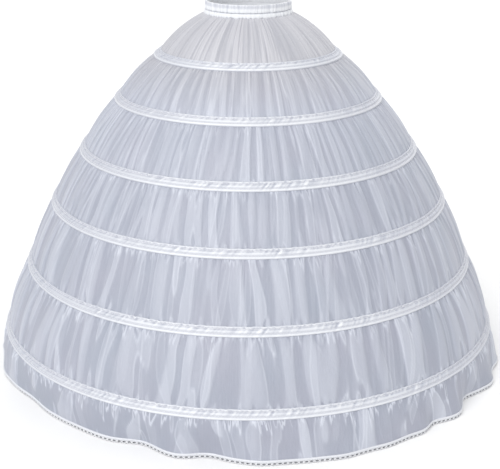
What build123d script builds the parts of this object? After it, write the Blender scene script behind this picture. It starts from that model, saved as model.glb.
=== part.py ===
"""Hoop petticoat (covered crinoline cage): six sprung hoops in tape casings,
six gathered tiers, a frilled hem flounce and an elasticated waistband.

Millimetres, +Z up. The origin is the middle of the waistband's height, on the
axis of the waist. Front is -Y; the joins of the hoops lie at the back, +Y.
Every piece is a ring about the Z axis, drawn once as a section and revolved.
The gathered cloth is drawn as a plain shell as thick as its folds are packed.
"""

import os
from math import atan2, cos, degrees, radians, sin

from build123d import *

os.makedirs("parts", exist_ok=True)

# ---------------------------------------------------------------- hoop stack
HOOP_RADII = [215.0, 312.0, 400.0, 474.0, 540.0, 602.0]  # middle of each steel strip
HOOP_DROPS = [105.0, 100.0, 119.0, 124.0, 148.0, 159.0]  # each hoop below the one above

# --------------------------------------------------------------------- waist
WAIST_INNER_R = 96.0     # relaxed inside radius, a 603 mm waist
WAIST_WALL = 1.2         # folded satin of the elastic's channel
CHANNEL_EDGE = 1.8       # stitched edge above and below the elastic's channel
BINDING_H = 11.1         # strip below it that the first tier is sewn to
BINDING_PROUD = 3.0      # how far the strip stands out past the channel
ELASTIC_T = 1.6
ELASTIC_H = 15.0
ELASTIC_CLEARANCE = 0.5  # all round the elastic in its channel

# --------------------------------------------------------------------- cloth
SHELL_T = 2.0            # packed thickness of a gathered tier
TIER_BELLY = 8.0         # how far a tier bows out past a straight line
FLOUNCE_DROP = 80.0      # height of the flounce, from casing to hem binding
FLOUNCE_FLARE = 17.0     # how much further out the hem lies than its casing
SEAM_GAP = 0.3           # between two sewn pieces that lie edge to edge

# ------------------------------------------------------ hoop, sleeve, casing
STEEL_W = 5.0            # coated spring strip, width along the skirt
STEEL_T = 1.2
STEEL_END_GAP = 1.0      # between the two ends, inside the sleeve
SLEEVE_WALL = 0.5
SLEEVE_LENGTH = 22.0
SLEEVE_CLEARANCE = 0.3   # strip to sleeve
CASING_CLEARANCE = 0.35  # sleeve to casing
CASING_WIDTH = 24.0      # tape width, measured down the skirt
CASING_BACK = 1.3        # tape behind the strip's channel
CASING_COVER = 2.6       # tape in front of it, at the middle ridge's crest
STITCH_MARGIN = 2.9      # from the channel's edge to the line of stitches beside it
STITCH_RISE = 0.6        # stitch lines stand this far outside the tiers
UPPER_RIDGE_RISE = 2.4   # gathered edge of the tape, outside the tiers
LOWER_RIDGE_RISE = 3.2   # rolled edge of the tape, outside the tiers
RIDGE_BANK = 0.25        # share of a ridge's width that each of its banks takes

# ----------------------------------------------------------------------- hem
HEM_BINDING_H = 4.0
HEM_BINDING_T = 3.0
LACE_H = 7.0
LACE_T = 1.4

# ------------------------------------------------------------ derived values
CHANNEL_H = ELASTIC_H + 2 * (ELASTIC_CLEARANCE + CHANNEL_EDGE)
WAIST_H = CHANNEL_H + SEAM_GAP + BINDING_H
WAIST_TOP = WAIST_H / 2
CHANNEL_BOTTOM = WAIST_TOP - CHANNEL_H
BINDING_TOP = CHANNEL_BOTTOM - SEAM_GAP
BINDING_BOTTOM = -WAIST_H / 2
CHANNEL_R = WAIST_INNER_R + 2 * WAIST_WALL + 2 * ELASTIC_CLEARANCE + ELASTIC_T
BINDING_R = CHANNEL_R + BINDING_PROUD
HOOP_Z = [-sum(HOOP_DROPS[: i + 1]) for i in range(len(HOOP_DROPS))]
SLEEVE_W = STEEL_W + 2 * (SLEEVE_CLEARANCE + SLEEVE_WALL)
SLEEVE_T = STEEL_T + 2 * (SLEEVE_CLEARANCE + SLEEVE_WALL)
CAVITY_W = SLEEVE_W + 2 * CASING_CLEARANCE
CAVITY_T = SLEEVE_T + 2 * CASING_CLEARANCE
BACK_N = -(CAVITY_T / 2 + CASING_BACK)   # inside face of the casing and the tiers
SHELL_N = BACK_N + SHELL_T               # outside face of the tiers at the casing
HALF_CASING = CASING_WIDTH / 2
STITCH_S = CAVITY_W / 2 + STITCH_MARGIN  # stitch lines, up and down from the strip


def slope_angle(upper, lower):
    """Angle below the horizontal of the line from one (r, z) point to a lower one."""
    return atan2(upper[1] - lower[1], lower[0] - upper[0])


# Each casing lies along the mean of the slopes above and below its hoop, and the
# last one along the slope above it.
stack = [(BINDING_R, BINDING_BOTTOM)] + list(zip(HOOP_RADII, HOOP_Z))
slopes = [slope_angle(a, b) for a, b in zip(stack, stack[1:])]
casing_slopes = [(a + b) / 2 for a, b in zip(slopes, slopes[1:])] + [slopes[-1]]


def on_casing(i, s, n):
    """(r, z) of the point s down the slope and n outward from hoop i's middle."""
    a = casing_slopes[i]
    return (HOOP_RADII[i] + s * cos(a) + n * sin(a), HOOP_Z[i] - s * sin(a) + n * cos(a))


def level_end(i, s):
    """Outer and inner (r, z) where casing i is cut off level, s down the slope."""
    r, z = on_casing(i, s, SHELL_N)
    return (r, z), (r - SHELL_T / sin(casing_slopes[i]), z)


def half_plane(angle):
    """Plane through the Z axis, turned this many degrees from +X: x is r, y is z."""
    a = radians(angle)
    return Plane(origin=(0, 0, 0), x_dir=(cos(a), sin(a), 0), z_dir=(sin(a), -cos(a), 0))


BACK = 90.0  # degrees from +X to the middle of the back


def save(piece, name):
    """Label a finished piece and write its STEP file."""
    piece.part.label = name
    export_step(piece.part, f"parts/{name}.step")


# ----------------------------------------------------------------- waistband
# A flat tube of satin, closed round the elastic.
with BuildPart() as waistband:
    with BuildSketch(Plane.XZ):
        with Locations(((WAIST_INNER_R + CHANNEL_R) / 2, WAIST_TOP - CHANNEL_H / 2)):
            Rectangle(CHANNEL_R - WAIST_INNER_R, CHANNEL_H)
            Rectangle(
                ELASTIC_T + 2 * ELASTIC_CLEARANCE,
                ELASTIC_H + 2 * ELASTIC_CLEARANCE,
                mode=Mode.SUBTRACT,
            )
    revolve(axis=Axis.Z)
save(waistband, "waistband")

with BuildPart() as elastic:
    with BuildSketch(Plane.XZ):
        with Locations(((WAIST_INNER_R + CHANNEL_R) / 2, WAIST_TOP - CHANNEL_H / 2)):
            Rectangle(ELASTIC_T, ELASTIC_H)
    revolve(axis=Axis.Z)
save(elastic, "waist_elastic")

# The strip under the channel: straight inside, swelling outward to its lower edge.
with BuildPart() as binding:
    with BuildSketch(Plane.XZ):
        with BuildLine():
            outer = ThreePointArc(
                (CHANNEL_R, BINDING_TOP),
                (BINDING_R, BINDING_TOP - BINDING_H / 2),
                (BINDING_R, BINDING_BOTTOM),
            )
            Polyline(
                outer @ 1,
                (WAIST_INNER_R, BINDING_BOTTOM),
                (WAIST_INNER_R, BINDING_TOP),
                outer @ 0,
            )
        make_face()
    revolve(axis=Axis.Z)
save(binding, "waist_binding")


# --------------------------------------------------------------------- tiers
def shell_ring(top, bottom, belly):
    """Shell between two level ends, each an (outer, inner) pair of (r, z) points.

    Both faces are arcs that bow outward by belly at the middle.
    """
    (top_out, top_in), (bottom_out, bottom_in) = top, bottom
    a = slope_angle(top_out, bottom_out)
    bow = (belly * sin(a), belly * cos(a))

    def middle(p, q):
        return ((p[0] + q[0]) / 2 + bow[0], (p[1] + q[1]) / 2 + bow[1])

    with BuildPart() as shell:
        with BuildSketch(Plane.XZ):
            with BuildLine():
                ThreePointArc(top_out, middle(top_out, bottom_out), bottom_out)
                Line(bottom_out, bottom_in)
                ThreePointArc(bottom_in, middle(top_in, bottom_in), top_in)
                Line(top_in, top_out)
            make_face()
        revolve(axis=Axis.Z)
    return shell


def dropped(end, distance):
    """The same level end, moved down."""
    return tuple((r, z - distance) for r, z in end)


first_slope = slopes[0]
tops = [((BINDING_R, BINDING_BOTTOM), (BINDING_R - SHELL_T / sin(first_slope), BINDING_BOTTOM))]
tops += [level_end(i, HALF_CASING) for i in range(len(HOOP_RADII))]

for i in range(len(HOOP_RADII)):
    tier = shell_ring(
        dropped(tops[i], SEAM_GAP), dropped(level_end(i, -HALF_CASING), -SEAM_GAP), TIER_BELLY
    )
    save(tier, f"tier_{i + 1}")

# ------------------------------------------------------------------- flounce
flounce_top = dropped(tops[-1], SEAM_GAP)
flounce_bottom = tuple(
    (r + FLOUNCE_FLARE, z) for r, z in dropped(flounce_top, FLOUNCE_DROP)
)
save(shell_ring(flounce_top, flounce_bottom, FLOUNCE_FLARE / 4), "flounce")

hem_r = (flounce_bottom[0][0] + flounce_bottom[1][0]) / 2
hem_z = flounce_bottom[0][1] - SEAM_GAP

with BuildPart() as hem_binding:
    with BuildSketch(Plane.XZ):
        with Locations((hem_r, hem_z - HEM_BINDING_H / 2)):
            Rectangle(HEM_BINDING_T, HEM_BINDING_H)
    revolve(axis=Axis.Z)
save(hem_binding, "hem_binding")

with BuildPart() as lace:
    with BuildSketch(Plane.XZ):
        with Locations((hem_r, hem_z - HEM_BINDING_H - SEAM_GAP - LACE_H / 2)):
            Rectangle(LACE_T, LACE_H)
    revolve(axis=Axis.Z)
save(lace, "hem_lace")


# ------------------------------------------------- casings, hoops and sleeves
def strip_face(i, width, thickness):
    """Rectangle across hoop i's section, with its width down the slope."""
    corners = [
        on_casing(i, sw * width / 2, sn * thickness / 2)
        for sw, sn in ((-1, -1), (1, -1), (1, 1), (-1, 1))
    ]
    return Polygon(*corners, align=None, mode=Mode.PRIVATE)


for i, radius in enumerate(HOOP_RADII):
    top_end, bottom_end = level_end(i, -HALF_CASING), level_end(i, HALF_CASING)
    valleys = [-HALF_CASING, -STITCH_S, STITCH_S, HALF_CASING]
    crests = [
        SHELL_N + UPPER_RIDGE_RISE,
        CAVITY_T / 2 + CASING_COVER,
        SHELL_N + LOWER_RIDGE_RISE,
    ]
    outline = [top_end[0]]
    for upper, lower, crest in zip(valleys, valleys[1:], crests):
        bank = (lower - upper) * RIDGE_BANK
        outline += [on_casing(i, upper + bank, crest), on_casing(i, lower - bank, crest)]
        outline += [on_casing(i, lower, SHELL_N + STITCH_RISE)]
    outline[-1] = bottom_end[0]

    with BuildPart() as casing:
        with BuildSketch(Plane.XZ):
            Polygon(*outline, bottom_end[1], top_end[1], align=None)
            add(strip_face(i, CAVITY_W, CAVITY_T), mode=Mode.SUBTRACT)
        revolve(axis=Axis.Z)
    save(casing, f"casing_{i + 1}")

    # The strip's two ends meet at the back.
    end_gap = degrees(STEEL_END_GAP / radius)
    with BuildPart() as hoop:
        with BuildSketch(half_plane(BACK + end_gap / 2)):
            add(strip_face(i, STEEL_W, STEEL_T))
        revolve(axis=Axis.Z, revolution_arc=360 - end_gap)
    save(hoop, f"hoop_{i + 1}")

    # A crimped sleeve joins them.
    sleeve_arc = degrees(SLEEVE_LENGTH / radius)
    with BuildPart() as sleeve:
        with BuildSketch(half_plane(BACK - sleeve_arc / 2)):
            add(strip_face(i, SLEEVE_W, SLEEVE_T))
            add(
                strip_face(i, STEEL_W + 2 * SLEEVE_CLEARANCE, STEEL_T + 2 * SLEEVE_CLEARANCE),
                mode=Mode.SUBTRACT,
            )
        revolve(axis=Axis.Z, revolution_arc=sleeve_arc)
    save(sleeve, f"hoop_sleeve_{i + 1}")
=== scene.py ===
"""Hoop petticoat: six satin casings over flat steel hoops, gathered taffeta tiers between
them, a frilled flounce with a picot edging, and a ruched elastic waistband.

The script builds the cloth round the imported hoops. Metres, +Z up, the wearer's front is -Y,
and the origin is the middle of the waistband. An angle round the skirt is 0 at the front
and grows towards +X; a slope runs down the cloth, and out is away from the wearer.
"""

from math import pi, radians

import bpy
import numpy as np
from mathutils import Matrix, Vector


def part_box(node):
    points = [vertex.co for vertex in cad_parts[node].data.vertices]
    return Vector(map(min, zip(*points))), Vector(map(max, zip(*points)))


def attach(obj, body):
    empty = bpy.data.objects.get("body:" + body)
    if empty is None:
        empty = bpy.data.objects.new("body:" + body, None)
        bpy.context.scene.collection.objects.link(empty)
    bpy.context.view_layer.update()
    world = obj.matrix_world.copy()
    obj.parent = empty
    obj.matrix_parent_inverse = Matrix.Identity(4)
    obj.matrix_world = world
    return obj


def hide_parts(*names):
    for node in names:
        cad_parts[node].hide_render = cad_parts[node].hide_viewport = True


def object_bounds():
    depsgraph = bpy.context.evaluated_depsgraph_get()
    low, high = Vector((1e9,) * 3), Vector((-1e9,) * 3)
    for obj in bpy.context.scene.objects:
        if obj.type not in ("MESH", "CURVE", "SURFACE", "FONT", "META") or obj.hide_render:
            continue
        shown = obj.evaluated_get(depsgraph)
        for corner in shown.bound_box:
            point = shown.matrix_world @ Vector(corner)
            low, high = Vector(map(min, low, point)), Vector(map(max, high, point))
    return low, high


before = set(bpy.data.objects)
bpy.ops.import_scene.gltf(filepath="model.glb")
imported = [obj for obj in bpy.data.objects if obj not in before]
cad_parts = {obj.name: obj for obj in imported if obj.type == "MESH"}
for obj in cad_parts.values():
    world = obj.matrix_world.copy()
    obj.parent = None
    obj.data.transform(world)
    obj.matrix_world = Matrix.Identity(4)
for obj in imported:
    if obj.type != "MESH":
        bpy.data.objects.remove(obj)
cad_low, cad_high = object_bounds()

MM = 0.001
HOOPS = 6

# ------------------------------------------------------------------ sizes of the real pieces
STRIP_WIDTH, STRIP_THICKNESS = 5.0 * MM, 1.2 * MM   # the coated steel of a hoop
TIER_FACE = -1.05 * MM      # outside of the tiers, measured from the middle of the strip
CASING_HALF = 12.0 * MM     # half the width of the casing tape
TUCK = 2.5 * MM             # cloth that runs in under a casing's edge
BELLY = (9.0, 6.0, 5.0, 4.0, 5.0, 8.0)   # how far each tier bows out, in millimetres
FLOUNCE_PUFF = 5 * MM       # how far the flounce puffs out below its seam
TUCK_IN, TUCK_UP = 2.6 * MM, 1.5 * MM   # where tier 1 starts, behind the waist strip's low edge
HEM_INSET, HEM_OVERLAP = 2.5 * MM, 0.8 * MM   # the flounce's foot, from the binding's out and top

# Where each piece's own draws of random numbers start.
HEM_SEED, TIER_SEED, FLOUNCE_SEED = 7, 10, 31
CASING_SEED, CHANNEL_SEED, STRIP_SEED = 200, 300, 320


# ------------------------------------------------------------------------------ mesh helpers
def ring_of(columns):
    """Evenly spaced angles once round the skirt, the first one again at the end left out."""
    return 2 * pi * np.arange(columns) / columns


def around(angles, radius, height):
    """Points at these angles: (radius sin a, -radius cos a, height)."""
    return np.stack(np.broadcast_arrays(radius * np.sin(angles), -radius * np.cos(angles), height), -1)


def mesh_from(name, vertices, faces):
    """A smooth-shaded mesh of four-sided faces, straight from whole arrays."""
    mesh = bpy.data.meshes.new(name)
    mesh.vertices.add(len(vertices))
    mesh.vertices.foreach_set("co", vertices.astype(np.float32).reshape(-1))
    mesh.loops.add(faces.size)
    mesh.loops.foreach_set("vertex_index", faces.astype(np.int32).reshape(-1))
    mesh.polygons.add(len(faces))
    mesh.polygons.foreach_set("loop_start", np.arange(0, faces.size, 4, dtype=np.int32))
    mesh.update(calc_edges=True)
    mesh.shade_smooth()
    return mesh


def cloth_ring(name, points, down, fold, length, closed=False):
    """Cloth round the skirt through points, an array of rows x columns x 3.

    The columns close in a ring, and closed joins the last row to the first too, as round a
    tube. Each cell is one four-sided face, whose corners turn it outward when rows run down
    the skirt and columns run from the front towards +X. The UV map is the cloth itself in
    metres: length round the skirt, and down for each row. fold says how many times the cloth
    lies over itself: 0 for one thickness, 1 where it is folded; it also carries the painted
    highlights and painted shade that the pieces add to it.
    """
    rows, columns = points.shape[:2]
    index = np.arange(rows * columns).reshape(rows, columns)
    index = np.hstack([index, index[:, :1]])
    turn = np.linspace(0, length, columns + 1)
    uv = np.stack(np.broadcast_arrays(turn, np.asarray(down)[:, None]), -1)
    if closed:
        index, uv = np.vstack([index, index[:1]]), np.vstack([uv, uv[:1]])
    mesh = mesh_from(name, points.reshape(-1, 3), corners_of(index).reshape(-1, 4))
    cloth = mesh.uv_layers.new(name="cloth")
    cloth.uv.foreach_set("vector", corners_of(uv).astype(np.float32).reshape(-1))
    layer = mesh.attributes.new("fold", "FLOAT", "POINT")
    folds = np.broadcast_to(fold, (rows, columns))
    layer.data.foreach_set("value", folds.astype(np.float32).reshape(-1))
    return mesh


def corners_of(a):
    """What the four corners of each cell of a grid hold, in the order of a face's corners."""
    return np.stack([a[:-1, :-1], a[1:, :-1], a[1:, 1:], a[:-1, 1:]], 2)


def piece(name, mesh, material, replaced):
    """An object at the origin for this mesh, riding on the one body of the skirt."""
    obj = bpy.data.objects.new(name, mesh)
    bpy.context.scene.collection.objects.link(obj)
    mesh.materials.append(material)
    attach(obj, "root")
    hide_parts(*replaced)
    return obj


def smooth_step(x, low, high):
    """0 below low, 1 above high, and 3t^2 - 2t^3 between."""
    t = np.clip((x - low) / (high - low), 0, 1)
    return t * t * (3 - 2 * t)


def bell(x, middle, width):
    """1 at the middle and dying away on both sides: exp(-((x - middle) / width)^2)."""
    return np.exp(-(((x - middle) / width) ** 2))


# --------------------------------------------------------------------------- shape of a skirt
def hoop_line():
    """Radius and height of each strip's middle, and the slope that its casing lies along.

    A slope is the angle below the horizontal. A casing takes the mean of the slopes above and
    below its hoop, and the last one takes the slope above it.
    """
    outer = np.array([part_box(f"hoop_{i + 1}")[1].x for i in range(HOOPS)])
    height = np.array([sum(c.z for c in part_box(f"hoop_{i + 1}")) / 2 for i in range(HOOPS)])
    low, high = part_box("waist_binding")
    r = np.concatenate([[high.x], outer])
    z = np.concatenate([[low.z], height])
    slopes = np.arctan2(z[:-1] - z[1:], r[1:] - r[:-1])
    lean = (slopes + np.append(slopes[1:], slopes[-1])) / 2
    radius = outer - (STRIP_WIDTH * np.cos(lean) + STRIP_THICKNESS * np.sin(lean)) / 2
    return radius, height, lean


HOOP_R, HOOP_Z, HOOP_LEAN = hoop_line()


def on_casing(i, s, n):
    """Radius and height of a point s down the slope and n outward from the middle of strip i."""
    lean = HOOP_LEAN[i]
    radius = HOOP_R[i] + s * np.cos(lean) + n * np.sin(lean)
    return radius, HOOP_Z[i] - s * np.sin(lean) + n * np.cos(lean)


# ------------------------------------------------------------------------------ gathered cloth
ROLL = 1.2 * MM             # width of the thin roll along a fold's edge
CRISP, SOFT = 0.8 * MM, 5 * MM   # half the slope of a sharp edge, and what a soft one adds
SEAM_REACH = 11 * MM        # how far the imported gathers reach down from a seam
LOOP_SPREAD, LOOP_LENGTH = 1.8 * MM, 13 * MM   # loops of cloth that hang from a seam
CLOSE_AT_SEAMS = 0.55       # 0 spaces the rows evenly, 1 packs them at the seams
# How long a stretch of the skirt has folds of one lean, one bend, one softness, one strength.
LEAN_RUN, BEND_RUN, SOFT_RUN, STRENGTH_RUN = 40 * MM, 25 * MM, 12 * MM, 30 * MM
# How much each kind of fold lightens the cloth's colour: where the cloth lies double, as a
# painted highlight along its rolls and as painted light and shade on its swell, for the broad
# folds, the small ones (and more at a seam) and the loops. The loops' negative double mark is
# painted shade inside them.
DOUBLE_MARK, ROLL_MARK, SWELL_MARK = 0.23, 0.36, 0.05
SMALL_DOUBLE_MARK, SMALL_ROLL_MARK = 0.10, 0.28
SEAM_DOUBLE_MARK, SEAM_ROLL_MARK = 0.10, 0.20
LOOP_DOUBLE_MARK, LOOP_ROLL_MARK = -0.20, 0.62
SMALL_SHARE = 0.7           # level above which the small folds lie double
# How far the small folds and the loops stand out, where a broad fold stands out by 1.
SMALL_STEP, LOOP_STEP, SMALL_RIDGE = 0.5, 0.5, 0.7
# How far from a seam its stitches press the gathers flatter.
TIER_HELD, FLOUNCE_HELD = 9 * MM, 7 * MM


def waves_of(seed, columns):
    """The waves of one line of random numbers round the skirt."""
    return np.fft.rfft(np.random.default_rng(seed).standard_normal(columns))


def blurred(waves, columns, length, spread):
    """Folds round the skirt from these waves, a row for each spread, and how steep they are.

    The line of random numbers is blurred by a bell curve as wide as spread metres: each wave
    is multiplied by sqrt(k spread) exp(-(k spread)^2 / 2), with k its radians in a metre, and
    by i k as well for the slope. Folds close up in pairs and die out where the spread grows,
    as gathers do below a seam. Both are in units of the row's own usual height.
    """
    k = 2 * pi * np.arange(waves.shape[-1]) / length
    ks = k * spread[:, None]
    kept = waves * np.exp(-0.5 * ks ** 2) * np.sqrt(ks)
    level = np.fft.irfft(kept, columns)
    size = level.std(axis=1, keepdims=True)
    return level / size, np.fft.irfft(kept * 1j * k, columns) / size


def wander(seed, columns, length, spread, rows=1):
    """A slow smooth line round the skirt, of usual height 1, the same for every row."""
    line = blurred(waves_of(seed, columns), columns, length, np.array([spread]))[0]
    return np.repeat(line, rows, axis=0)


def shifted(field, shift):
    """The same field read shift columns further round, row by row."""
    columns = field.shape[1]
    at = np.arange(columns) + shift
    return np.stack([np.interp(a, np.arange(columns), f, period=columns) for a, f in zip(at, field)])


def fold_edges(seed, columns, length, v, cloth, spread, share):
    """Where the cloth lies double, and the thin rolls along the edges of those places.

    A fold's edge is where a blurred line crosses share. Its distance in metres is (level -
    share) / steepness, which is never less than 0.5 / spread. Inside the edge the cloth lies
    double, and along it stands a thin roll, a bell of width ROLL. A slow line makes some edges
    soft, with a wide slope and a weak roll.
    Most of a fold is common to both seams, and the rest changes over between them. Folds lean
    to one side or the other by about cloth["lean"] over the height, and bend by a quarter of
    it. seed numbers the draw of each line: its folds, their lean and bend, and the soft edges.
    """
    turn = (smooth_step(v, 0.2, 1.0) * pi / 2)[:, None]
    own = np.cos(turn) * waves_of(seed + 50, columns) + np.sin(turn) * waves_of(seed + 60, columns)
    waves = cloth["common"] * waves_of(seed, columns) + np.sqrt(1 - cloth["common"] ** 2) * own
    level, slope = blurred(waves, columns, length, spread)
    lean = wander(seed + 70, columns, length, LEAN_RUN, len(v)) * (v - 0.5)[:, None]
    bend = wander(seed + 75, columns, length, BEND_RUN, len(v)) * np.sin(pi * v)[:, None]
    drift = cloth["lean"] * (lean + 0.25 * bend) / length * columns
    level, slope = shifted(level, drift), shifted(slope, drift)
    distance = (level - share) / np.hypot(slope, 0.5 / spread[:, None])
    soft = smooth_step(wander(seed + 80, columns, length, SOFT_RUN, len(v)), -1.0, 1.0)
    soft = shifted(soft, drift)
    edge = CRISP + SOFT * soft
    return level, smooth_step(distance, -edge, edge), (1 - 0.8 * soft) * bell(distance, 0, ROLL)


def gathered(seed, columns, length, height, v, cloth):
    """How far gathered cloth stands out from its bare surface, and how folded it is drawn, with
    painted highlights and painted shade.

    Rows are at v of the way down a height. The folds are as fine as cloth["fine"] at the seams
    and grow as broad as cloth["broad"] between, over a length of about cloth["hold"]. A second,
    weaker set of folds is half as broad. In a third set the share rises down the cloth, so its
    folds close into loops below the seam. The lift adds a rounded swell over each fold, a step
    where cloth lies double and a ridge along each roll. The marks weigh the same three into the
    colour, as layers where cloth lies double, painted highlights along the rolls and painted
    light and shade over the swells, with painted shade inside the loops; painted shadow darkens
    the cloth next to the seam, or it is painted lighter there where shade is negative.
    """
    grow = 1 - np.exp(-v * height / cloth["hold"])
    if cloth["foot"]:
        grow = np.minimum(grow, 1 - np.exp(-(1 - v) * height / (0.6 * cloth["hold"])))
    spread = cloth["fine"] + (cloth["broad"] - cloth["fine"]) * grow
    thin = 0.8 * cloth["fine"] + 0.45 * (spread - cloth["fine"])
    even = np.full(len(v), LOOP_SPREAD)
    closing = 0.1 + (v * height / LOOP_LENGTH)[:, None]
    level, double, roll = fold_edges(seed, columns, length, v, cloth, spread, cloth["share"])
    small = fold_edges(seed + 5, columns, length, v, cloth, thin, SMALL_SHARE)
    loops = fold_edges(seed + 15, columns, length, v, cloth, even, closing)
    (_, small_double, small_roll), (_, loop_double, loop_roll) = small, loops

    swell = np.tanh(1.1 * (level - cloth["share"])) * np.sqrt(spread / cloth["broad"])[:, None]
    steps = double + SMALL_STEP * small_double + LOOP_STEP * cloth["loops"] * loop_double
    ridges = roll + SMALL_RIDGE * small_roll + cloth["loops"] * loop_roll
    lift = cloth["swell"] * swell + cloth["step"] * steps + cloth["ridge"] * ridges

    strength = np.clip(wander(seed + 90, columns, length, STRENGTH_RUN), -1.5, 1.5)
    seam = np.exp(-v * height / SEAM_REACH)[:, None]
    # the colour: lighter for layers where cloth lies double, painted highlights along the rolls,
    # painted light and shade over the swells, painted shade inside the loops
    marks = DOUBLE_MARK * (0.75 + 0.35 * strength) * double + ROLL_MARK * roll + SWELL_MARK * level
    marks += (SMALL_DOUBLE_MARK + SEAM_DOUBLE_MARK * seam) * small_double
    marks += (SMALL_ROLL_MARK + SEAM_ROLL_MARK * seam) * small_roll
    marks += cloth["loops"] * (LOOP_ROLL_MARK * loop_roll + LOOP_DOUBLE_MARK * loop_double)
    # painted shadow below the seam; a negative shade paints the cloth lighter there instead
    marks -= cloth["shade"] * seam
    return lift, cloth["tone"] + cloth["contrast"] * marks


def rows_down(count):
    """Rows from one seam to the other, closest at both: v = t - C sin(2 pi t) / (2 pi)."""
    t = np.linspace(0, 1, count)
    return t - CLOSE_AT_SEAMS * np.sin(2 * pi * t) / (2 * pi)


def cloth_of(fine, broad, swell, lean, tone, contrast, hold=24, ridge=0.7, **other):
    """The gathers of one tier, with sizes in millimetres.

    fine and broad are how wide a fold's slope is at the seams and between them, and hold how
    far down it stays fine. swell and ridge are how far a fold and its rolls stand out, and lean
    how far it runs sideways. tone is how folded the cloth lies on the whole and contrast how
    strongly its folds mark its colour, with painted highlights and painted shade. loops is the
    strength of the loops below a seam, share the level above which cloth lies double, common
    how much of a fold runs from seam to seam, foot whether the lower edge is gathered too, and
    shade how much painted shadow darkens the cloth just below its seam, negative where the cloth
    is painted lighter there.
    """
    sizes = dict(fine=fine, broad=broad, swell=swell, lean=lean, hold=hold, ridge=ridge)
    sizes["step"] = 0.7 * ridge
    shares = dict(loops=1.0, share=0.1, common=0.9, foot=True, shade=0.16)
    shares.update(tone=tone, contrast=contrast, **other)
    return {**{key: size * MM for key, size in sizes.items()}, **shares}


TIERS = [
    # fine, broad, swell, lean, tone, contrast
    cloth_of(1.4, 2.2, 0.5, 3, 0.40, 0.98, loops=0.2, ridge=0.6, shade=-0.28),
    cloth_of(1.8, 4.4, 0.8, 6, 0.24, 0.88, loops=0.6),
    cloth_of(1.8, 4.2, 0.8, 6, 0.15, 0.92, loops=0.8),
    cloth_of(1.9, 6.5, 1.1, 9, 0.10, 1.03),
    cloth_of(2.1, 9.0, 1.5, 12, 0.08, 1.14),
    cloth_of(2.2, 11.0, 2.0, 14, 0.09, 1.32),
]
FLOUNCE = cloth_of(
    2.1, 16.0, 2.4, 12, 0.05, 1.8, hold=13, loops=1.7, share=0.8, common=0.8, foot=False,
)
TIER_COLUMNS = [900, 1300, 1600, 1900, 2100, 2300]
TIER_ROWS = 23


def tier_surface(i):
    """Tier i, between the waist strip or the casing above it and casing i.

    The bare cloth is the straight line between the two, bowed out by its belly x
    sin(pi v)^0.8. The gathers stand out from it, pressed to half their height at the seams.
    Gives the mesh, the mean length round the tier and the height down its cloth.
    """
    v = rows_down(TIER_ROWS)
    if i == 0:
        low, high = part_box("waist_binding")
        top_r, top_z = high.x - TUCK_IN, low.z + TUCK_UP
    else:
        top_r, top_z = on_casing(i - 1, CASING_HALF - TUCK, TIER_FACE)
    foot_r, foot_z = on_casing(i, TUCK - CASING_HALF, TIER_FACE)
    height = np.hypot(foot_r - top_r, foot_z - top_z)
    out_r, out_z = (top_z - foot_z) / height, (foot_r - top_r) / height
    length = pi * (top_r + foot_r)
    lift, fold = gathered(TIER_SEED + i, TIER_COLUMNS[i], length, height, v, TIERS[i])
    held = 0.5 + 0.5 * smooth_step(np.minimum(v, 1 - v) * height, 0, TIER_HELD)
    stand = (BELLY[i] * MM * np.sin(pi * v) ** 0.8)[:, None] + held[:, None] * lift
    r = top_r + (foot_r - top_r) * v[:, None] + out_r * stand
    z = top_z + (foot_z - top_z) * v[:, None] + out_z * stand
    points = around(ring_of(TIER_COLUMNS[i]), r, z)
    return cloth_ring(f"tier_{i + 1}", points, v * height, fold, length), length, height


# ------------------------------------------------------------------------------ casings
# Down the slope and out from the middle of the strip, in millimetres, with how folded the
# cloth is, which also paints highlights on the rolls and shade in the ruched strip and the
# groove: a narrow roll at the top edge, a ruched strip, a roll over the steel, a groove of
# stitches, the widest roll, and flat behind.
CASING_PROFILE = np.array([
    (-12.0, -1.2, 0.30), (-11.7, 0.5, 0.46), (-10.7, 1.6, 0.66), (-9.3, 2.0, 0.66),
    (-7.9, 1.4, 0.42), (-6.6, 0.6, 0.24), (-5.2, 0.4, 0.22), (-4.2, 1.1, 0.34),
    (-3.2, 2.0, 0.58), (-1.6, 2.6, 0.74), (0.2, 3.0, 0.76), (2.0, 2.6, 0.62),
    (3.2, 2.0, 0.40), (4.0, 1.4, 0.20), (4.8, 1.9, 0.28), (6.0, 3.0, 0.56),
    (7.9, 3.7, 0.90), (9.8, 3.0, 0.90), (11.4, 1.4, 0.44), (12.0, -0.8, 0.30),
    (11.0, -2.9, 0.40), (0.0, -3.0, 0.40), (-11.0, -2.9, 0.40),
])
CASING_STEP = 2.4 * MM      # length of a face along the tape


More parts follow.
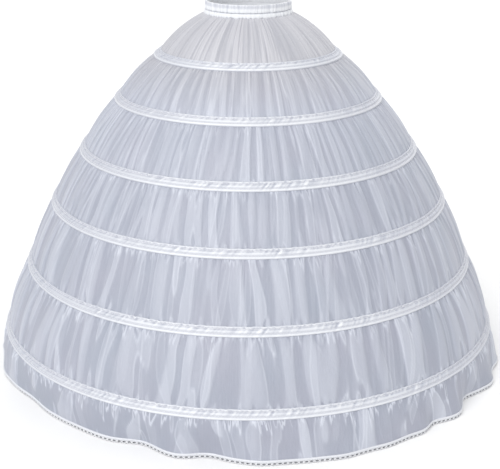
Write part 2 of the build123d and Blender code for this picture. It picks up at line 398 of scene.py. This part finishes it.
def casing_surface(i):
    """The profile above, carried round hoop i, with its puckers.

    Fine noise round the skirt presses the top roll in and out and scallops its edge, and
    slanting noise puckers the roll over the steel, more in some stretches than in others. The
    lowest roll is nearly smooth. On the front the same noise paints the tape lighter where it
    stands out and darker where it sinks, and the more puckered stretches over the steel are
    painted darker, all painted light and shade. The tape is painted darker at the sides, as
    painted shade where its satin turns away from the front light: above the lowest roll its fold
    is times 1 - 0.6 smooth_step(|sin a|, 0.3, 0.95), and on it 0.4 stands for 0.6.
    """
    length = 2 * pi * HOOP_R[i]
    columns = int(length / CASING_STEP)
    s, n, fold = (CASING_PROFILE * (MM, MM, 1)).T[:, :, None]
    seed = CASING_SEED + i
    fine = wander(seed, columns, length, 1.9 * MM)
    slant = shifted(wander(seed + 20, columns, length, 2.0 * MM, len(s)), 0.8 * s / CASING_STEP)
    bunch = smooth_step(wander(seed + 40, columns, length, 40 * MM), -1.5, 1.0)
    top_edge = bell(s, -12 * MM, 2.5 * MM)
    top_roll = bell(s, -9.2 * MM, 2.2 * MM)
    ruched = bell(s, -5 * MM, 2.2 * MM)
    steel_roll = bell(s, 0, 3.0 * MM)
    low_roll = bell(s, 7.9 * MM, 3.0 * MM)
    front = n > 0
    puckers = 0.5 * ruched + (0.6 * steel_roll + 0.2 * low_roll) * bunch
    n = n + front * (0.5 * fine * top_roll + puckers * slant) * MM
    # painted light and shade that follow the puckers on the front: lighter where out, darker where
    # puckered
    crease_shading = 0.26 * ruched + (0.30 * steel_roll + 0.1 * low_roll) * bunch
    shade = 0.22 * fine * top_roll + crease_shading * slant - 0.2 * steel_roll * bunch
    # painted shade at the sides, where the satin's sheen turns away from the front light
    sides = smooth_step(np.abs(np.sin(ring_of(columns))), 0.3, 0.95)
    less = 0.6 - 0.2 * smooth_step(s, 4 * MM, 6 * MM)
    fold = (fold + front * shade) * (1 - less * sides)
    r, z = on_casing(i, s + 0.5 * MM * fine * top_edge, n)
    points = around(ring_of(columns), r, z)
    down = CASING_PROFILE[:, 0] * MM
    return cloth_ring(f"casing_{i + 1}", points, down, fold, length, closed=True)


# ------------------------------------------------------------------------------ waistband
# Out from the axis and height, in millimetres, with how folded the cloth is, as painted shade
# too: greyer on the channel's ruched middle, in the groove where channel and strip meet and
# under the strip's lower edge.
CHANNEL_PROFILE = np.array([
    (96.6, 14.6, 0.9), (97.6, 15.3, 0.9), (99.2, 15.4, 0.8), (100.6, 14.4, 0.62),
    (101.2, 12.6, 0.50), (101.4, 10.6, 0.45), (101.4, 8.6, 0.50), (101.3, 6.6, 0.65),
    (101.5, 4.6, 0.92), (101.7, 2.4, 1.0), (101.6, 0.0, 1.0), (101.3, -2.0, 0.9),
    (100.8, -3.4, 0.6), (99.6, -4.1, 0.6), (96.5, -4.0, 1.0),
    (96.4, -3.4, 1.0), (96.3, 5.0, 1.0), (96.4, 14.0, 1.0),
])
STRIP_PROFILE = np.array([
    (96.5, -4.2, 1.0), (99.6, -4.2, 0.6), (101.8, -4.9, 0.6), (103.1, -6.0, 0.9),
    (103.8, -8.0, 1.0), (104.2, -10.4, 1.0), (104.4, -12.6, 1.0), (104.0, -14.6, 0.9),
    (102.6, -15.5, 0.7), (100.0, -15.2, 0.4), (96.6, -14.8, 0.8),
    (96.4, -14.0, 1.0), (96.4, -5.0, 1.0),
])
BAND_COLUMNS = 640


def band_surface(name, profile, seed, spread, puff, edge):
    """A closed band carried round the waist, ruched by noise as fine as spread.

    The outside is pressed in and out by puff and the lower edge goes up and down by edge.
    Ruching is strongest at the sides, where the elastic draws it most: 0.45 + 0.55 |sin a|.
    """
    r, z, fold = (profile * (MM, MM, 1)).T[:, :, None]
    angles = ring_of(BAND_COLUMNS)
    length = 2 * pi * r.max()
    tilt = 0.12 * wander(seed + 1, BAND_COLUMNS, length, 12 * MM)
    ruching = wander(seed, BAND_COLUMNS, length, spread, len(r))
    ruching = shifted(ruching, tilt * z / length * BAND_COLUMNS)
    drawn = 0.45 + 0.55 * np.abs(np.sin(angles))
    outside = smooth_step(r, 97.5 * MM, 100.5 * MM)
    middle = (z.max() + z.min()) / 2
    low = smooth_step(middle - z, 0, (z.max() - z.min()) / 2)
    out = outside * puff * ruching * drawn
    points = around(angles, r + out, z - edge * ruching * low * outside)
    down = np.cumsum(np.hypot(np.diff(r[:, 0], prepend=r[0]), np.diff(z[:, 0], prepend=z[0])))
    # painted light and shade on the ruching: lighter where it puffs out, darker where it sinks, most
    # at the sides
    fold = fold + 0.14 * ruching * drawn * outside
    return cloth_ring(name, points, down, fold, length, closed=True)


# ------------------------------------------------------------------------------ flounce
# Where the flounce's deep folds reach the hem: degrees round from the front, how far the hem
# swings out there in millimetres, and half the fold's width in degrees.
FRONT_WAVES = np.array([
    (-71, 5, 4), (-56, -10, 6), (-40, -16, 20), (-22.5, -23, 5), (-14, 3, 3.5), (-8, -16, 4),
    (3, 10, 4.5), (11, 9, 5), (19, 13, 5), (28.5, 9, 5), (37.5, 6, 3), (42, -8, 2.5),
    (48.5, 11, 3.5), (56, -18, 3.8), (66, 15, 3.8), (78, 12, 4),
])
HEM_STEPS = 1440            # the back's wave is drawn once at these angles, for all hem pieces
BACK_SWING = 9              # usual height of that wave, in millimetres
BACK_RUN = 30 * MM          # how slowly it wanders along the hem
FRONT_ENDS = (76, 94)       # the front's waves give way to it between these, in degrees
HEM_LOW, HEM_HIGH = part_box("hem_binding")
LACE_LOW, LACE_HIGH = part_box("hem_lace")
HEM_R = HEM_HIGH.x - HEM_INSET
FLOUNCE_COLUMNS, FLOUNCE_ROWS = 2300, 24


def hem_wave(angles):
    """How far the hem swings out: bells at the front, and a seeded line where they end."""
    degrees = (np.degrees(angles) + 180) % 360 - 180
    at, out, half = FRONT_WAVES.T[:, :, None]
    front = (out * bell(degrees, at, half)).sum(axis=0)
    line = wander(HEM_SEED, HEM_STEPS, 2 * pi * HEM_R, BACK_RUN)[0]
    back = BACK_SWING * np.interp(angles, ring_of(HEM_STEPS), line, period=2 * pi)
    behind = smooth_step(np.abs(degrees), *FRONT_ENDS)
    return MM * (front * (1 - behind) + back * behind)


def flounce_surface():
    """The flounce, from under the last casing to the hem.

    The hem's wave dies out up the cloth as v^1.5, and the cloth puffs out below its seam by
    its puff x sin(pi v^0.6). The folds are the tiers' own kind, drawn up at the seam only: they
    stand 0.6 of their height there and 0.15 of it at the hem. Gives the mesh, the length round
    the hem and the height down the cloth.
    """
    v = rows_down(FLOUNCE_ROWS)
    top_r, top_z = on_casing(HOOPS - 1, CASING_HALF - TUCK, TIER_FACE)
    foot_r, foot_z = HEM_R, HEM_HIGH.z - HEM_OVERLAP
    height = np.hypot(foot_r - top_r, foot_z - top_z)
    length = 2 * pi * foot_r
    lift, fold = gathered(FLOUNCE_SEED, FLOUNCE_COLUMNS, length, height, v, FLOUNCE)
    angles = ring_of(FLOUNCE_COLUMNS)
    held = 0.6 + 0.4 * smooth_step(v * height, 0, FLOUNCE_HELD) - 0.85 * smooth_step(v, 0.75, 1.0)
    wave = hem_wave(angles) * (v ** 1.5)[:, None]
    puff = FLOUNCE_PUFF * np.sin(pi * v ** 0.6)[:, None]
    r = top_r + (foot_r - top_r) * v[:, None] + wave + puff + held[:, None] * lift
    z = top_z + (foot_z - top_z) * v[:, None]
    return cloth_ring("flounce", around(angles, r, z), v * height, fold, length), length, height


# Out and up from the middle of the binding, in millimetres.
HEM_PROFILE = np.array([
    (-1.2, 3.4), (0.4, 3.7), (1.6, 3.0), (2.1, 1.0), (1.8, -1.0), (0.8, -2.0), (-1.2, -1.9),
])
BINDING_COLUMNS = 1500


def hem_binding_surface(angles):
    """The narrow bound edge: the profile above carried along the hem's wave."""
    n, up = (HEM_PROFILE * MM).T[:, :, None]
    length = 2 * pi * HEM_R
    points = around(angles, HEM_R + hem_wave(angles) + n, (HEM_LOW.z + HEM_HIGH.z) / 2 + up)
    return cloth_ring("hem_binding", points, HEM_PROFILE[:, 1] * MM, 0.75, length, closed=True)


EYELET_PITCH = 11.2 * MM
LACE_STEPS = 7200           # how finely the hem's line is measured to space the units
# The corners of a thread's section, in millimetres: half the loop's width and height there, how
# square the loop is, and how far out the corner lies.
EYELET = np.array([
    (5.65, 3.15, 6, -0.4), (5.5, 3.0, 6, 0.5), (3.8, 2.15, 3, 0.5), (3.65, 2.0, 3, -0.4),
])
PICOT = np.array([(1.6, 1.6, 2, -0.2), (1.1, 1.1, 2, 0.45), (0.6, 0.6, 2, -0.1)])
# Steps round a loop, its section, and its middle along and up from the middle of its unit.
LACE_UNIT = [(16, EYELET, 0.0, 0.6), (6, PICOT, -2.8, -3.1), (6, PICOT, 2.8, -3.1)]


def lace_mesh():
    """Picot edging: in each unit a flat ring round an eyelet, and two small loops under it.

    A corner of the thread's section follows |x / a|^p + |y / b|^p = 1, at the angles t:
    (a |cos t|^(2/p), b |sin t|^(2/p)) with their signs. Units touch side by side along the hem's
    wave, found from its own length.
    """
    fine = ring_of(LACE_STEPS)
    line = around(fine, HEM_R + hem_wave(fine), 0)[:, :2]
    closed = np.vstack([line, line[:1]])
    along = np.concatenate([[0], np.cumsum(np.linalg.norm(np.diff(closed, axis=0), axis=1))])
    total = along[-1]
    count = round(total / EYELET_PITCH)
    place = (np.arange(count) / count * total)[:, None, None]
    middle = (LACE_LOW.z + LACE_HIGH.z) / 2
    vertices, faces, base = [], [], 0
    for turns, section, x, y in LACE_UNIT:
        t = ring_of(turns)[:, None]
        half_x, half_y, power, out = section.T[:, None, :]
        loop_x = half_x * np.sign(np.cos(t)) * np.abs(np.cos(t)) ** (2 / power)
        loop_y = half_y * np.sign(np.sin(t)) * np.abs(np.sin(t)) ** (2 / power)
        distance = (place + (x + loop_x) * MM) % total
        flat = np.stack([np.interp(distance, along, closed[:, k]) for k in (0, 1)], -1)
        flat = flat * (1 + out * MM / np.linalg.norm(flat, axis=-1))[..., None]
        up = np.maximum(middle + (y + loop_y) * MM + 0 * place, LACE_LOW.z)
        size = turns * len(section)
        index = np.pad(np.arange(size).reshape(turns, -1), ((0, 1), (0, 1)), mode="wrap")
        loop_faces = corners_of(index)[..., ::-1].reshape(-1, 4)
        shift = (np.arange(count) * size)[:, None, None] + base
        faces.append((loop_faces + shift).reshape(-1, 4))
        vertices.append(np.concatenate([flat, up[..., None]], -1).reshape(-1, 3))
        base += count * size
    return mesh_from("picot_lace", np.vstack(vertices), np.vstack(faces))


# ------------------------------------------------------------------------------ materials
def linear(colour):
    """sRGB hex to linear red, green, blue and 1."""
    c = np.array([int(colour[k:k + 2], 16) for k in (1, 3, 5)]) / 255
    return [*np.where(c <= 0.04045, c / 12.92, ((c + 0.055) / 1.055) ** 2.4), 1.0]


def node(tree, kind, settings=None, inputs=None):
    """Adds a node with its settings, and sets or links each input by its name or number."""
    made = tree.nodes.new("ShaderNode" + kind)
    for key, value in (settings or {}).items():
        setattr(made, key, value)
    for key, value in (inputs or {}).items():
        if isinstance(value, bpy.types.NodeSocket):
            tree.links.new(value, made.inputs[key])
        else:
            made.inputs[key].default_value = value
    return made


def new_material(name, roughness):
    """A material with its tree and its shader, which is linked to the output."""
    material = bpy.data.materials.new(name)
    material.use_nodes = True
    tree = material.node_tree
    tree.nodes.clear()
    shader = node(tree, "BsdfPrincipled", inputs={"Roughness": roughness})
    node(tree, "OutputMaterial", inputs={"Surface": shader.outputs[0]})
    return material, tree, shader


# A Mix node set to colour takes its share at 0 and its colours at 6 and 7, and gives output 2.
# A Map Range node takes its value at 0, the old range at 1 and 2 and the new one at 3 and 4.
COLOUR = {"data_type": "RGBA"}


def folded_cloth(name, single, double, tint, roughness, sheen):
    """Starts a thin white cloth: the fold attribute takes its colour from single to double, and
    slow clouds of tint make it uneven. fold counts the layers and carries the pieces' painted
    highlights and painted shade too; single is grey partly because one layer reflects less and
    partly as painted shade for the dark inside behind it. Gives the material, its tree and
    shader, the place on the piece, the cloth's own map in metres and the colour."""
    material, tree, shader = new_material(name, roughness)
    shader.inputs["Sheen Weight"].default_value = sheen
    shader.inputs["Sheen Roughness"].default_value = 0.4
    fold = node(tree, "Attribute", {"attribute_name": "fold"}).outputs["Fac"]
    place = node(tree, "TexCoord").outputs["Object"]
    cloth = node(tree, "UVMap", {"uv_map": "cloth"}).outputs["UV"]
    patches = {"Vector": place, "Scale": 9.0, "Detail": 2.0}
    cloud = node(tree, "TexNoise", inputs=patches).outputs["Fac"]
    base = node(tree, "Mix", COLOUR, {0: cloud, 6: linear(single), 7: linear(tint)}).outputs[2]
    colour = node(tree, "Mix", COLOUR, {0: fold, 6: base, 7: linear(double)}).outputs[2]
    return material, tree, shader, place, cloth, colour


def ribs(tree, cloth, direction, pitch):
    """Evenly spaced ribs across this direction: a wave repeats every pi / 10 / scale metres."""
    settings = {"wave_type": "BANDS", "bands_direction": direction}
    return node(tree, "TexWave", settings, {"Vector": cloth, "Scale": pi / 10 / pitch}).outputs["Fac"]


def streaks(tree, cloth, width, length):
    """Noise drawn out along the cloth's fall: patches of this width and length in metres."""
    drawn_out = {"Vector": cloth, "Scale": (1 / width, 1 / length, 1)}
    stretched = node(tree, "Mapping", inputs=drawn_out).outputs[0]
    patches = {"Vector": stretched, "Scale": 1.0, "Detail": 3.0}
    return node(tree, "TexNoise", inputs=patches).outputs["Fac"]


def relief(tree, shader, heights):
    """Bumps the surface by these heights, each with how many metres it stands out."""
    normal = None
    for height, distance in heights:
        inputs = {"Strength": 1.0, "Distance": distance, "Height": height}
        if normal:
            inputs["Normal"] = normal
        normal = node(tree, "Bump", inputs=inputs).outputs[0]
    tree.links.new(normal, shader.inputs["Normal"])


LIGHT_THROUGH = 0.15        # share of the light that passes through one thickness of taffeta


def taffeta():
    """White polyester taffeta, plain woven of filament yarn and calendered, then gathered. It is
    thin and crisp: one layer reflects less and is painted grey as well for the dark inside
    behind it, and it is white where a fold doubles it, with painted highlights and painted shade
    from the folds. It has a soft sheen, fine crinkles that run down from the gathers, and faint
    slubs."""
    material, tree, shader, place, cloth, colour = folded_cloth(
        "white_polyester_taffeta", "#9CA4B2", "#D0D4DF", "#A6A6B4", roughness=0.42, sheen=0.12,
    )
    # where the gathers are packed closest, at the waist, the cloth looks a little warmer
    # the cloth is tinted a little warmer towards the waist, fading in from 0.19 m below the origin and
    # full from 0.10 m below it
    up = node(tree, "SeparateXYZ", inputs={0: place}).outputs[2]
    near_waist = node(tree, "MapRange", inputs={0: up, 1: -0.19, 2: -0.10, 3: 0.0, 4: 1.0}).outputs[0]
    multiply = {**COLOUR, "blend_type": "MULTIPLY"}
    warm = node(tree, "Mix", multiply, {0: near_waist, 6: colour, 7: linear("#FAF5EF")}).outputs[2]
    slub = streaks(tree, cloth, 2.5 * MM, 60 * MM)
    faint = node(tree, "MapRange", inputs={0: slub, 1: 0.3, 2: 0.7, 3: 0.0, 4: 0.10}).outputs[0]
    slubbed = node(tree, "Mix", COLOUR, {0: faint, 6: warm, 7: linear("#D8DAE2")}).outputs[2]
    tree.links.new(slubbed, shader.inputs["Base Color"])
    gloss = node(tree, "MapRange", inputs={0: slub, 1: 0.3, 2: 0.7, 3: 0.38, 4: 0.50}).outputs[0]
    tree.links.new(gloss, shader.inputs["Roughness"])
    # the threads are 0.25 mm apart and are drawn 1 mm apart, the finest that shows
    thread = 1.0 * MM
    crossing = {0: ribs(tree, cloth, "X", thread), 1: ribs(tree, cloth, "Y", thread)}
    weave = node(tree, "Math", {"operation": "MULTIPLY"}, crossing).outputs[0]
    crinkle = streaks(tree, cloth, 5 * MM, 14 * MM)
    relief(tree, shader, [(weave, 0.04 * MM), (crinkle, 0.9 * MM)])
    # a part of the light goes through the cloth and softly lights the inside of the skirt
    through = node(tree, "BsdfTranslucent", inputs={"Color": linear("#DFE2EA")}).outputs[0]
    both = {0: LIGHT_THROUGH, 1: shader.outputs[0], 2: through}
    thin = node(tree, "MixShader", inputs=both).outputs[0]
    tree.links.new(thin, tree.nodes["Material Output"].inputs["Surface"])
    return material


def satin_tape():
    """White polyester satin ribbon with a crosswise rib, machine stitched: smoother and whiter
    than the taffeta, with rows of stitches sunk where the channels are sewn. Its colour carries
    painted highlights on its rolls and painted shade in its grooves, its ruching and, on the
    casings, at the sides."""
    material, tree, shader, place, cloth, colour = folded_cloth(
        "white_satin_tape", "#A6ABB8", "#E2E4E8", "#AEB0BC", roughness=0.38, sheen=0.1,
    )
    around_waist, down_tape, _ = node(tree, "SeparateXYZ", inputs={0: cloth}).outputs
    # stitches are 2.5 mm long and 0.4 mm thick, and are drawn 3 mm apart and 0.8 mm thick
    half_pitch, half_gap, half_thickness = 1.5 * MM, 0.45 * MM, 0.4 * MM
    to_and_fro = {0: around_waist, 1: half_pitch}
    dash = node(tree, "Math", {"operation": "PINGPONG"}, to_and_fro).outputs[0]
    apart = node(tree, "Math", {"operation": "GREATER_THAN"}, {0: dash, 1: half_gap}).outputs[0]
    on_lower, on_upper = (
        node(tree, "Math", {"operation": "COMPARE"}, {0: down_tape, 1: at, 2: half_thickness})
        for at in (4.1 * MM, -6.1 * MM)
    )
    rows = {0: on_lower.outputs[0], 1: on_upper.outputs[0]}
    row = node(tree, "Math", {"operation": "ADD"}, rows).outputs[0]
    stitch = node(tree, "Math", {"operation": "MULTIPLY"}, {0: row, 1: apart}).outputs[0]
    sewn = node(tree, "Mix", COLOUR, {0: stitch, 6: colour, 7: linear("#EEEEF1")}).outputs[2]
    tree.links.new(sewn, shader.inputs["Base Color"])
    # the rib's cords are 0.4 mm apart and are drawn 1.2 mm apart
    rib = ribs(tree, cloth, "X", 1.2 * MM)
    crease = streaks(tree, cloth, 3.5 * MM, 5 * MM)
    relief(tree, shader, [(rib, 0.05 * MM), (crease, 0.6 * MM), (stitch, 0.2 * MM)])
    return material


def picot_cotton():
    """Mercerised white cotton thread, twisted and knotted into an edging: matt, a little warm,
    with the twist of the thread as fine lumps."""
    material, tree, shader = new_material("white_cotton_picot", 0.7)
    shader.inputs["Sheen Weight"].default_value = 0.2
    place = node(tree, "TexCoord").outputs["Object"]
    # the thread's twist repeats every 0.6 mm and is drawn every 1.5 mm
    lumps = {"Vector": place, "Scale": 650.0, "Detail": 2.0}
    twist = node(tree, "TexNoise", inputs=lumps).outputs["Fac"]
    shades = {0: twist, 6: linear("#D2D3D8"), 7: linear("#EDEDEF")}
    tree.links.new(node(tree, "Mix", COLOUR, shades).outputs[2], shader.inputs["Base Color"])
    relief(tree, shader, [(twist, 0.3 * MM)])
    return material


def coated_steel():
    """Spring steel strip in a white nylon coat, drawn through a die: smooth and slightly glossy,
    with faint rubbed streaks where the casings have slid along it."""
    material, tree, shader = new_material("white_nylon_coated_steel", 0.35)
    shader.inputs["IOR"].default_value = 1.53
    place = node(tree, "TexCoord").outputs["Object"]
    flattened = node(tree, "Mapping", inputs={"Vector": place, "Scale": (12, 12, 900)}).outputs[0]
    patches = {"Vector": flattened, "Scale": 1.0, "Detail": 3.0}
    rubbed = node(tree, "TexNoise", inputs=patches).outputs["Fac"]
    shades = {0: rubbed, 6: linear("#CFCFCC"), 7: linear("#ECECEA")}
    tree.links.new(node(tree, "Mix", COLOUR, shades).outputs[2], shader.inputs["Base Color"])
    gloss = node(tree, "MapRange", inputs={0: rubbed, 1: 0.3, 2: 0.7, 3: 0.28, 4: 0.45}).outputs[0]
    tree.links.new(gloss, shader.inputs["Roughness"])
    relief(tree, shader, [(rubbed, 0.02 * MM)])
    return material


def crimped_steel():
    """Bright plated mild steel, pressed and crimped round the ends of a hoop: a fine brushed
    grain with duller spots."""
    material, tree, shader = new_material("plated_mild_steel", 0.3)
    shader.inputs["Metallic"].default_value = 1.0
    place = node(tree, "TexCoord").outputs["Object"]
    brushed = node(tree, "Mapping", inputs={"Vector": place, "Scale": (150, 150, 3000)}).outputs[0]
    patches = {"Vector": brushed, "Scale": 1.0, "Detail": 3.0}
    grain = node(tree, "TexNoise", inputs=patches).outputs["Fac"]
    shades = {0: grain, 6: linear("#A9ABAD"), 7: linear("#C9CACB")}
    tree.links.new(node(tree, "Mix", COLOUR, shades).outputs[2], shader.inputs["Base Color"])
    dull = node(tree, "MapRange", inputs={0: grain, 1: 0.3, 2: 0.7, 3: 0.22, 4: 0.42}).outputs[0]
    tree.links.new(dull, shader.inputs["Roughness"])
    relief(tree, shader, [(grain, 0.01 * MM)])
    return material


def knitted_elastic():
    """White knitted elastic of covered rubber: matt, with raised cords that run along it."""
    material, tree, shader = new_material("white_knitted_elastic", 0.8)
    shader.inputs["Sheen Weight"].default_value = 0.3
    place = node(tree, "TexCoord").outputs["Object"]
    cords = ribs(tree, place, "Z", 1.3 * MM)
    shades = {0: cords, 6: linear("#C4C4C2"), 7: linear("#ECECEA")}
    tree.links.new(node(tree, "Mix", COLOUR, shades).outputs[2], shader.inputs["Base Color"])
    fibres = {"Vector": place, "Scale": 900.0, "Detail": 2.0}
    fuzz = node(tree, "TexNoise", inputs=fibres).outputs["Fac"]
    relief(tree, shader, [(cords, 0.25 * MM), (fuzz, 0.1 * MM)])
    return material


def refinish(name, material):
    """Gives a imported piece, whose shape stays, this material."""
    for slot in bpy.data.objects[name].material_slots:
        slot.material = material


TAFFETA, TAPE, LACE = taffeta(), satin_tape(), picot_cotton()
STEEL, SLEEVE = coated_steel(), crimped_steel()
for i in range(HOOPS):
    refinish(f"hoop_{i + 1}", STEEL)
    refinish(f"hoop_sleeve_{i + 1}", SLEEVE)
refinish("waist_elastic", knitted_elastic())

for i in range(HOOPS):
    mesh, length, height = tier_surface(i)
    tier = piece(f"tier_{i + 1}_cloth", mesh, TAFFETA, [f"tier_{i + 1}"])
    piece(f"casing_{i + 1}_tape", casing_surface(i), TAPE, [f"casing_{i + 1}"])

mesh, length, height = flounce_surface()
flounce = piece("flounce_cloth", mesh, TAFFETA, ["flounce"])
edge = hem_binding_surface(ring_of(BINDING_COLUMNS))
binding = piece("hem_binding_tape", edge, TAPE, ["hem_binding"])
lace = piece("hem_lace_picot", lace_mesh(), LACE, ["hem_lace"])

channel = band_surface("channel", CHANNEL_PROFILE, CHANNEL_SEED, 1.5 * MM, 0.7 * MM, 0.1 * MM)
piece("waistband_channel", channel, TAPE, ["waistband"])
strip = band_surface("strip", STRIP_PROFILE, STRIP_SEED, 1.9 * MM, 0.5 * MM, 1.2 * MM)
piece("waist_binding_strip", strip, TAPE, ["waist_binding"])

# ------------------------------------------------------------------------------ studio
# Strength, width of the light in degrees, and how it is tipped and turned in degrees.
LIGHTS = {"key": (1.6, 40, 48, -28), "fill": (0.6, 60, -65, -20)}
SURROUND = 0.85             # strength of the white light from all round
CAMERA_AT = (0.0042, -2.70, 0.3648)
CAMERA_DOWN = 19.06         # how far below the horizontal it looks, in degrees
CAMERA_LENS = 81.86         # in millimetres, on a sensor 36 mm wide


def studio():
    """A plain pale floor, a white surround, a broad soft light from the front left, a weaker one
    from behind, and the camera."""
    scene = bpy.context.scene
    bpy.ops.mesh.primitive_plane_add(size=60, location=(0, 0, cad_low.z))
    floor = bpy.context.object
    floor.name = "floor"
    paint, _, shader = new_material("pale_matt_paint", 0.9)
    shader.inputs["Base Color"].default_value = linear("#F4F4F4")
    floor.data.materials.append(paint)

    scene.world = bpy.data.worlds.new("studio")
    scene.world.use_nodes = True
    background = scene.world.node_tree.nodes["Background"]
    background.inputs["Color"].default_value = linear("#FFFFFF")
    background.inputs["Strength"].default_value = SURROUND

    for name, (strength, width, tip, turn) in LIGHTS.items():
        sun = bpy.data.lights.new(name, "SUN")
        sun.energy = strength
        sun.angle = radians(width)
        light = bpy.data.objects.new(name, sun)
        light.rotation_euler = (radians(tip), 0, radians(turn))
        scene.collection.objects.link(light)

    lens = bpy.data.cameras.new("camera")
    lens.sensor_width = 36
    lens.lens = CAMERA_LENS
    camera = bpy.data.objects.new("camera", lens)
    camera.location = CAMERA_AT
    camera.rotation_euler = (radians(90 - CAMERA_DOWN), 0, 0)
    scene.collection.objects.link(camera)
    scene.camera = camera
    scene.view_settings.view_transform = "Standard"


studio()
